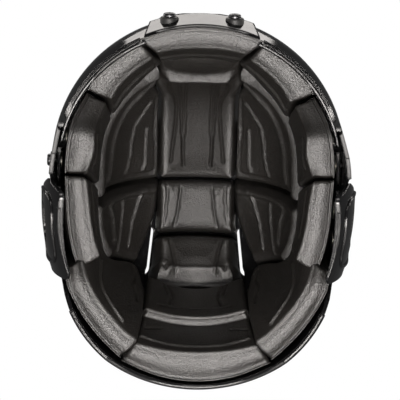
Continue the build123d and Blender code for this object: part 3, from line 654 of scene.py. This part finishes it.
crown_front_marks = on_both_sides([
    ([(15.0, -82, 124.3), (13.0, -50, 142), (10.8, -8, 145.3)], 0.9, -1.7),
    ([(10.0, -81.7, 126), (9.9, -45, 143.5), (9.6, -8, 145.4)], 0.7, -1.4),
    ([(23.0, -80, 123), (22.5, -74, 128.6), (18.6, -66.5, 135.1), (17.0, -56, 140.1),
      (18.5, -35, 142.5), (21.1, -11, 143.5)], 0.9, -1.7)])
crown_front_marks += [
    ([(-22.5, -82.4, 121.8), (0, -84, 124), (22.5, -82.4, 121.8)], 0.9, -1.8),
    ([(-25, -85.4, 115.5), (0, -89, 118.5), (25, -85.4, 115.5)], 3.7, 5.6)]
crown_front = dome_mesh(
    [(-27.5, -92.5, 97), (0, -101, 94), (27.5, -92.5, 97)],
    [(-27.8, 0.6, 141), (0, 0.6, 146), (27.8, 0.6, 141)],
    [(-27.5, -92.5, 97), (-27.8, -50, 136), (-27.8, 0.6, 141)],
    [(27.5, -92.5, 97), (27.8, -50, 136), (27.8, 0.6, 141)], crown_front_marks,
    edges=(16, 5, 4, 4), sheen=0.1, dull_front=15)

# The front pad's two front corners are drawn forward, with the square of the way out, so that
# its edge along the brow pad is straight.
corner_forward = 8.0
corner_out = 27.5
forward_from, forward_over = -70.0, 25.0
places = crown_front[0]
places[:, 1] -= (corner_forward * (places[:, 0] / corner_out)**2
                 * ease((forward_from - places[:, 1]) / forward_over))
foam_piece("crown_front_foam", "front", "crown_front_centre_pad", crown_front)

crown_mid = dome_mesh(
    [(-27.6, 3.4, 141.5), (0, 3.4, 146), (27.6, 3.4, 141.5)],
    [(-27.6, 42.2, 136.2), (0, 42.2, 142), (27.6, 42.2, 136.2)],
    [(-27.6, 3.4, 141.5), (-27.6, 42.2, 136.2)], [(27.6, 3.4, 141.5), (27.6, 42.2, 136.2)],
    on_both_sides([([(22.8, 8, 143), (23.5, 24, 141.5), (25.2, 38, 138.4)], 0.9, -1.7),
                   ([(12.4, 8.5, 145.2), (14.2, 24, 143.5), (17.2, 40.2, 140)], 0.9, -1.7)]),
    edges=(8, 8, 4, 4), sheen=0.5)
foam_piece("crown_mid_foam", "rear", "crown_mid_pad", crown_mid)

crown_rear = dome_mesh(
    [(-26.6, 45.6, 134.8), (0, 45.6, 140.5), (26.6, 45.6, 134.8)],
    [(-26.3, 70.0, 109.5), (0, 73.6, 115.5), (26.3, 70.0, 109.5)],
    [(-26.6, 45.6, 134.8), (-26.5, 59.5, 123), (-26.3, 70.0, 109.5)],
    [(26.6, 45.6, 134.8), (26.5, 59.5, 123), (26.3, 70.0, 109.5)],
    on_both_sides([([(20.4, 49, 135), (17.1, 61.7, 127.7), (15.5, 71, 118)], 0.9, -2.0),
                   ([(24.5, 64, 120), (22.5, 68, 116)], 0.8, -1.4)])
    + [([(-22, 66.0, 113.5), (0, 69.4, 119), (22, 66.0, 113.5)], 3.2, 2.6)],
    edges=(7, 16, 4, 4), flare=0.06)
foam_piece("crown_rear_foam", "rear", "crown_rear_pad", crown_rear)

crown_side = dome_mesh(
    [(29.8, -92, 98), (40, -87, 95)],
    [(30.2, 0.4, 140), (55, 0.4, 124), (70.5, 0.4, 97), (73.6, 0.4, 70)],
    [(29.8, -92, 98), (30.0, -60, 131), (30.2, -30, 140), (30.2, 0.4, 140)],
    [(40, -87, 95), (54.5, -76, 88), (67, -59.5, 82), (72.6, -40, 77), (73.6, 0.4, 70)],
    [([(34.2, -83.4, 111.6), (46, -75, 110.5), (55, -66.3, 107.1), (65.1, -47.3, 104.1),
       (69, -27, 99), (70.5, -5.9, 95.2)], 3.2, 2.5),
     ([(36.3, -65.5, 127.7), (44, -56, 126.5), (51.2, -44.5, 125.6), (53.7, -26.9, 125.2),
       (56.9, -5.2, 121.6)], 1.0, 1.7),
     ([(40.5, -42.7, 134.3), (41.5, -25, 134.6), (42.4, -7.1, 134.4)], 1.0, 1.7),
     ([(33.2, -67.8, 128.1), (33.6, -40, 137.5), (33.7, -11.7, 139.1), (37, -5.5, 137.8),
       (60, -4.8, 118)], 1.0, -1.4)],
    edges=(7, 6, 4, 8), welt=3.2)
foam_pair("crown_front_side", "front", crown_side)

crown_wing = dome_mesh(
    [(30.4, 3.8, 140), (55, 3.8, 124), (70.5, 3.8, 97), (73.6, 3.8, 69)],
    [(44.5, 58.5, 113), (52, 54.5, 104), (60, 50.5, 92), (66.5, 47.5, 72)],
    [(30.4, 3.8, 140), (31.5, 25, 139), (36.6, 42, 131.5), (44.5, 58.5, 113)],
    [(73.6, 3.8, 69), (73.8, 20, 68.5), (71.5, 36, 68.5), (66.5, 47.5, 72)],
    [([(58.6, 13.7, 119.6), (60.5, 32, 111), (61, 49.7, 93.6)], 1.0, 2.0),
     ([(44.1, 11.3, 133.3), (51, 30, 124), (53.8, 50, 109.4)], 1.0, 2.0),
     ([(40, 8, 136), (54, 8.5, 122), (64, 9.5, 110), (68.7, 13.5, 101), (67.3, 27.5, 100.8),
       (65.6, 41.3, 92.5)], 2.6, 2.2)],
    edges=(7, 8, 5, 8), flare=0.1, welt=2.4)
foam_pair("crown_rear_side", "rear", crown_wing)


# Vent fillers
# Behind each rear vent, 21 mm out from the cavity's skin, lies a thin sheet of the shell's black
# plastic. It shows as a dark strip and leaves only a narrow slot of daylight beside the rear crown
# pad.

vent_filler = dome_mesh(
    [(27.8, 36, 141), (46, 36, 130)], [(31.0, 72, 108), (50, 72, 94)],
    [(27.8, 36, 141), (29.5, 54, 128), (31.0, 72, 108)],
    [(46, 36, 130), (47, 54, 118), (50, 72, 94)], [],
    edges=(0.6, 0.6, 0.6, 0.6), corner=1.5, puff=0.0, thin=1.6, thick=1.6, sink=21.0)
trim_pair("vent_filler", "rear", vent_filler[:2], shell_black)


# Lower pads
# A ring of thicker pressed foam pads round the forehead, temples, ears and nape, glued to the
# shells. Each has a bulged foot, pale where the skin is stretched, and a groove next to its lip.

def with_groove(rails, depth):
    """Adds the groove's rail: the foot's outer edge, which is the last rail but two, raised by the
    groove's depth. The lip's edge and the back come after it."""
    raised = [(x, y, z + depth) for x, y, z in rails[-3]]
    return rails[:-2] + [raised] + rails[-2:]


brow_rails = with_groove([
    [(-26.5, -101.8, 88), (-14.5, -104.3, 88), (0, -105, 88), (14.5, -104.3, 88),
     (26.5, -101.8, 88)],
    [(-33.5, -115.2, 46.5), (-17.5, -118.4, 46), (0, -119.3, 46), (17.5, -118.4, 46),
     (33.5, -115.2, 46.5)],
    [(-44, -123.6, 43.4), (-22, -130.4, 43.3), (0, -132.6, 43.2), (22, -130.4, 43.3),
     (44, -123.6, 43.4)],
    [(-45.1, -126, 43.9), (-22.5, -132.9, 43.8), (0, -135.2, 43.7), (22.5, -132.9, 43.8),
     (45.1, -126, 43.9)],
    [(-39.5, -125.8, 86), (-20.5, -131.8, 86), (0, -132.2, 86), (20.5, -131.8, 86),
     (39.5, -125.8, 86)]], 0.5)
brow_marks = [([(-30, -110, 60), (0, -114, 63), (30, -110, 60)], 1.6, 1.6)]
brow = swept_mesh(brow_rails, [4, 2.5, 1.2, 0.3, 0.5, 6], [0.8, 0.9, 0, 0, 0, 0], brow_marks)
foam_piece("brow_foam", "front", "brow_pad", brow)

temple_rails = with_groove([
    [(28.2, -102.5, 86.3), (41.5, -90.5, 84), (55.5, -75.5, 82), (65, -62, 80)],
    [(34.9, -111.7, 47.1), (47, -103.1, 46.5), (58.6, -91.9, 46.5), (65.6, -80.1, 47)],
    [(43.2, -122.4, 44.2), (62.6, -109.7, 43.6), (74.8, -98.2, 43.6), (80.8, -86.6, 44.1)],
    [(44.1, -124.2, 44.7), (63.8, -111.3, 44.1), (76.3, -99.6, 44.1), (82.4, -87.8, 44.6)],
    [(43.6, -124.7, 82), (63, -113, 82), (77.5, -100, 81), (85.5, -88.5, 80)]], 0.5)
temple_marks = [([(36, -104, 65), (47, -96.5, 64), (58, -84.5, 64), (65.5, -73, 64)], 2.2, 2.0)]
temple = swept_mesh(temple_rails, [4, 2.5, 1.2, 0.3, 0.5, 6], [0.5, 1.4, 0, 0, 0, 0], temple_marks)
foam_pair("temple", "front", temple)

side_rails = with_groove([
    [(66, -60.3, 79.5), (70, -51, 77), (72, -43, 75), (73.3, -34, 72), (74, -23, 69.5),
     (74.4, -12.5, 67)],
    [(68.9, -78.5, 46), (73.8, -68.6, 36), (76.5, -59.7, 23.5), (76.7, -47.8, 22.5),
     (79.7, -36.9, 22.8), (82.2, -30.5, 24.5)],
    [(81.5, -83.7, 46), (88.9, -70.8, 32), (92.6, -60.3, 22.6), (94.8, -48.2, 22.5),
     (95.6, -37.1, 22.5), (95.8, -29.8, 22.8)],
    [(83.1, -84.9, 48), (90.7, -71.7, 34), (94.4, -60.9, 24.6), (96.7, -48.6, 24.5),
     (97.6, -37.3, 24.5), (97.8, -29.8, 24.8)],
    [(86.3, -86, 79), (95, -71, 79), (99.3, -59, 78.5), (101.3, -46, 77), (101.7, -33, 75),
     (101.8, -18, 71)]], 2.0)
side_pad = swept_mesh(side_rails, [4, 2, 1.2, 0.5, 0.6, 6], [0.3, 1.2, 0, 0, 0, 0],
                      [([(77, -57, 34), (77.5, -45, 34), (79, -35, 34)], 1.5, 1.4)])
foam_pair("side", "front", side_pad)

ear_rails = with_groove([
    [(74.9, -8.7, 65.8), (74.6, 3, 65.8), (74.4, 14, 65.8), (73.4, 25, 65.8), (71.2, 35, 65.8)],
    [(82.2, -27, 24), (80.2, -12, 22.8), (78.5, 4, 22.5), (75.7, 19, 22.5), (71.4, 33.4, 23)],
    [(95.8, -27.8, 23), (95.1, -12, 22.5), (94, 6, 22.5), (91.2, 24, 22.5), (86.2, 41.6, 23)],
    [(97.8, -27.8, 25), (97.1, -12, 24.5), (96, 6, 24.5), (93.2, 24, 24.5), (88.2, 41.9, 25)],
    [(101.3, -8.7, 64), (101.5, 4, 64), (101.2, 17, 64), (99.8, 30, 64), (96.6, 43, 64)]], 2.0)
ear_pad = swept_mesh(ear_rails, [4, 2.5, 1.2, 0.5, 0.6, 6], [0.6, 1.3, 0, 0, 0, 0],
                     [([(79.5, -18, 34), (78, 2, 34), (75.5, 20, 34)], 1.2, 1.4)])
foam_pair("ear", "rear", ear_pad)

occipital_rails = with_groove([
    [(73.6, 27.8, 62), (68.8, 42.5, 68), (62.5, 51.5, 84), (54.5, 56.5, 99), (46, 62.5, 104),
     (40.5, 74, 84)],
    [(76.7, 31, 42), (74.2, 46.8, 34), (66.8, 61.1, 28), (58.4, 71.5, 26), (49.4, 77.9, 30),
     (40, 80.4, 44)],
    [(84.5, 34.8, 22), (79.7, 48.2, 14), (71.4, 63.5, 12), (61.8, 75.9, 11.8), (52.7, 86, 11.8),
     (42.9, 93.2, 11.8)],
    [(94.8, 39.1, 18.5), (93, 52.2, 13), (84.9, 68.8, 11.8), (74.2, 84.5, 11.6),
     (63, 97.1, 11.6), (54.7, 105.2, 11.8)],
    [(97, 39.3, 20.5), (95.1, 52.7, 15), (86.9, 69.8, 13.8), (76, 85.8, 13.6),
     (64.5, 98.7, 13.6), (55.9, 106.9, 13.8)],
    [(99.8, 39.7, 60), (97.9, 57.4, 60), (90.8, 76.7, 60), (79.7, 93.4, 60), (67.5, 106.1, 60),
     (59.4, 112.7, 60)]], 2.0)
occipital_marks = [
    ([(71.1, 42.6, 48.5), (68.7, 54.2, 27), (60.3, 67.4, 19.4), (49.8, 78.1, 14.2)], 1.1, 1.9),
    ([(49, 62, 98), (47, 67, 86), (49.5, 69, 74), (46.5, 74, 62), (45, 76, 52)], 1.0, -1.8)]
occipital = swept_mesh(occipital_rails, [3, 4, 2.5, 1.2, 0.5, 0.6, 8],
                       [0.8, 0.4, 1.6, 0, 0, 0, 0], occipital_marks)
foam_pair("occipital", "rear", occipital)

rear_rails = with_groove([
    [(-36, 69.7, 104.5), (-18, 77.5, 106.5), (0, 80, 107), (18, 77.5, 106.5), (36, 69.7, 104.5)],
    [(-37.6, 79.6, 49.3), (-19, 85.4, 52.7), (0, 87.4, 54), (19, 85.4, 52.7), (37.6, 79.6, 49.3)],
    [(-39.5, 86.4, 50), (-20, 92.8, 54), (0, 95.2, 55.4), (20, 92.8, 54), (39.5, 86.4, 50)],
    [(-45.3, 95.4, 12), (-22.8, 99.8, 11.8), (0, 101.3, 11.8), (22.8, 99.8, 11.8),
     (45.3, 95.4, 12)],
    [(-53.7, 106.4, 12), (-27.4, 117.1, 11.6), (0, 121, 11.6), (27.4, 117.1, 11.6),
     (53.7, 106.4, 12)],
    [(-55.5, 109, 14), (-28.3, 120.2, 13.6), (0, 124.2, 13.6), (28.3, 120.2, 13.6),
     (55.5, 109, 14)],
    [(-56.8, 114.8, 60), (-29.4, 126.9, 60), (0, 131.5, 60), (29.4, 126.9, 60),
     (56.8, 114.8, 60)]], 2.0)
rear_marks = on_both_sides([
    ([(21.6, 78.5, 101), (18.3, 83, 85.4), (20.4, 84.5, 67.7)], 0.9, -1.5),
    ([(25.5, 77, 101), (22.5, 82, 85.4)], 0.8, -1.2),
    ([(37, 88, 34), (26.1, 93, 42)], 1.2, -1.5)])
rear_marks += [([(-30.2, 82.8, 62), (0, 87, 68), (30.2, 82.8, 62)], 0.9, -1.3),
               ([(-41.5, 90, 22), (-25.4, 95.5, 20), (0, 98.5, 19.5), (25.4, 95.5, 20),
                 (41.5, 90, 22)], 1.0, 1.9)]
rear_foam = swept_mesh(rear_rails, [4, 2.5, 2, 2.5, 1.2, 0.5, 0.6, 8],
                       [0.3, 1.0, 0.4, 1.6, 0, 0, 0, 0], rear_marks)
foam_piece("rear_foam", "rear", "rear_pad", rear_foam)


# Pressed lips
# Each lower pad is trimmed next to the shell to a thin rounded lip of the same foam, pressed with
# the pad, which stands clear of its foot by a narrow groove.

lip_drop = np.array([0.0, 0.0, -0.9])
lip_radius = 0.65
for name, body, rails in (("temple", "front", temple_rails), ("side", "front", side_rails),
                          ("ear", "rear", ear_rails), ("occipital", "rear", occipital_rails)):
    trim_pair(name + "_lip", body, bead(curve(rails[-2], 90) + lip_drop, lip_radius), thick_foam)
for name, body, rails in (("brow", "front", brow_rails), ("rear", "rear", rear_rails)):
    lip = bead(curve(rails[-2], 90) + lip_drop, lip_radius)
    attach(make_piece(name + "_lip", *lip, thick_foam), body)


# Ear guards
# Satin black nylon guards screwed over the ears, CAD nodes with a raised frame round the window
# and a rounded foot, which are moulded with them.

guard_black = gloss_plastic("satin_black_nylon", 0.42, 0.1, 0.22)
for side in ("left", "right"):
    finish_node("ear_guard_" + side, guard_black)

guard_axis_out = 46.0
guard_axis_height = 45.0
guard_radius = 70.0
guard_fall = 11.0
guard_half_length = 58.0


def on_guard(along, height, proud):
    """Places on a guard: a barrel about its axis, whose radius falls from the middle with the
    square of the distance along it, by guard_fall at guard_half_length."""
    radius = guard_radius - guard_fall * (along / guard_half_length)**2 + proud
    out = guard_axis_out + np.sqrt(radius**2 - (height - guard_axis_height)**2)
    return np.stack([out, along, height], -1)


window_middle, window_half_length = 10.5, 26.0
window_height, window_half_height = 31.0, 21.0
frame_radius, frame_proud = 1.3, 0.2
frame_turn = np.linspace(0, 2 * math.pi, 120, endpoint=False)
frame_along, frame_up = np.cos(frame_turn), np.sin(frame_turn)
squareness = (frame_along**4 + frame_up**4)**0.25
guard_frame = on_guard(window_middle + window_half_length * frame_along / squareness,
                       window_height + window_half_height * frame_up / squareness, frame_proud)
trim_pair("guard_frame", "rear", bead(guard_frame, frame_radius, closed=True), guard_black)

foot_height = 4.0
foot_radius, foot_proud = 1.6, -1.2
foot_along = np.linspace(-9, 41, 50)
guard_foot = on_guard(foot_along, np.full(50, foot_height), foot_proud)
trim_pair("guard_foot", "rear", bead(guard_foot, foot_radius), guard_black)


# Floor, light and camera
# The helmet stands on a pale painted floor under studio lamps, before a white background. The
# photograph looks up into it from below, so the floor shows only to a camera above it.

def one_sided_floor():
    """Pale painted board, seen by the camera from above alone."""
    material, tree, output = new_material("pale_painted_board")
    path = add_node(tree, "ShaderNodeLightPath")
    side = add_node(tree, "ShaderNodeNewGeometry")
    front = add_node(tree, "ShaderNodeMath", {"operation": "SUBTRACT", 0: 1.0},
                     {1: side.outputs["Backfacing"]})
    seen = add_node(tree, "ShaderNodeMath", {"operation": "MULTIPLY"},
                    {0: front.outputs["Value"], 1: path.outputs["Is Camera Ray"]})
    clear = add_node(tree, "ShaderNodeBsdfTransparent")
    paint = add_node(tree, "ShaderNodeBsdfDiffuse", {"Color": linear("#e9e8e6")})
    mix = add_node(tree, "ShaderNodeMixShader", None, {0: seen.outputs["Value"],
                   1: clear.outputs["BSDF"], 2: paint.outputs["BSDF"]})
    tree.links.new(mix.outputs["Shader"], output.inputs["Surface"])
    return material


floor_half = 3.0
board = bpy.data.meshes.new("floor")
board.from_pydata([(-floor_half, -floor_half, 0), (floor_half, -floor_half, 0),
                   (floor_half, floor_half, 0), (-floor_half, floor_half, 0)], [], [(0, 1, 2, 3)])
board.materials.append(one_sided_floor())
floor = bpy.data.objects.new("floor", board)
bpy.context.scene.collection.objects.link(floor)

world = bpy.data.worlds.new("studio")
bpy.context.scene.world = world
world.use_nodes = True
sky = world.node_tree
sky.nodes.clear()
path = add_node(sky, "ShaderNodeLightPath")
shown = add_node(sky, "ShaderNodeMath", {"operation": "MAXIMUM"},
                 {0: path.outputs["Is Camera Ray"], 1: path.outputs["Is Transmission Ray"]})
ambient = add_node(sky, "ShaderNodeBackground", {"Color": linear("#ffffff"), "Strength": 0.15})
reflected = add_node(sky, "ShaderNodeBackground", {"Color": linear("#ffffff"), "Strength": 0.1})
white = add_node(sky, "ShaderNodeBackground", {"Color": linear("#ffffff"), "Strength": 1.0})
glossy = add_node(sky, "ShaderNodeMixShader", None, {0: path.outputs["Is Glossy Ray"],
                  1: ambient.outputs["Background"], 2: reflected.outputs["Background"]})
studio = add_node(sky, "ShaderNodeMixShader", None, {0: shown.outputs["Value"],
                  1: glossy.outputs["Shader"], 2: white.outputs["Background"]})
add_node(sky, "ShaderNodeOutputWorld", None, {"Surface": studio.outputs["Shader"]})

aim = Vector((0, 0, 0.07))


def soft_box(name, place, wide, high, watts):
    """A rectangular studio lamp, slightly warm, at a place in metres and turned to the helmet."""
    light = bpy.data.lights.new(name, "AREA")
    light.color = linear("#fffaf6")[:3]
    light.shape = "RECTANGLE"
    light.size = wide
    light.size_y = high
    light.energy = watts
    lamp = bpy.data.objects.new(name, light)
    lamp.location = place
    lamp.rotation_euler = (aim - Vector(place)).to_track_quat("-Z", "Y").to_euler()
    bpy.context.scene.collection.objects.link(lamp)


soft_box("lamp_under_nape", (0.0, 0.17, -1.45), 0.9, 0.3, 31)
soft_box("lamp_low_nape", (0.0, 1.15, -1.1), 0.9, 0.5, 3)
soft_box("lamp_low_left", (-1.1, 0.35, -1.1), 0.3, 0.8, 6)
soft_box("lamp_low_right", (1.1, 0.35, -1.1), 0.3, 0.8, 6)
soft_box("lamp_near_nape", (0.0, 0.24, -0.47), 0.5, 0.4, 0.5)
soft_box("lamp_under_brow", (0.0, -1.3, -1.25), 0.7, 0.7, 9)
soft_box("lamp_over_brow", (0.0, -0.75, 1.05), 1.0, 0.45, 6.5)
soft_box("lamp_left", (-1.2, -0.3, 0.5), 0.08, 1.0, 5)
soft_box("lamp_right", (1.2, -0.3, 0.5), 0.08, 1.0, 5)

# The camera lies under the helmet, tilted towards the brow, and turned and rolled a little.
view_tilt = math.radians(14.0)
view_distance = 1350.0
view_centre_height = 55.0
lens = 162.0
view_roll = math.radians(1.0)
view_turn = math.radians(1.1)
shift_across = 0.0045
shift_up = 0.0125
level_up = Vector((0, -math.cos(view_tilt), math.sin(view_tilt)))
level_across = Vector((math.cos(view_turn), -math.sin(view_turn) * math.sin(view_tilt),
                       -math.sin(view_turn) * math.cos(view_tilt)))
view_across = math.cos(view_roll) * level_across + math.sin(view_roll) * level_up
view_up = math.cos(view_roll) * level_up - math.sin(view_roll) * level_across
view_along = Vector((math.sin(view_turn), math.cos(view_turn) * math.sin(view_tilt),
                     math.cos(view_turn) * math.cos(view_tilt)))
eye = Vector((0, frame_shift, view_centre_height)) - view_distance * view_along
camera = bpy.data.objects.new("camera", bpy.data.cameras.new("camera"))
camera.data.lens = lens
camera.data.shift_x = shift_across
camera.data.shift_y = shift_up
turned = Matrix((view_across, view_up, -view_along)).transposed().to_4x4()
camera.matrix_world = Matrix.Translation(eye * millimetre) @ turned
bpy.context.scene.collection.objects.link(camera)
bpy.context.scene.camera = camera
bpy.context.scene.view_settings.view_transform = "Standard"
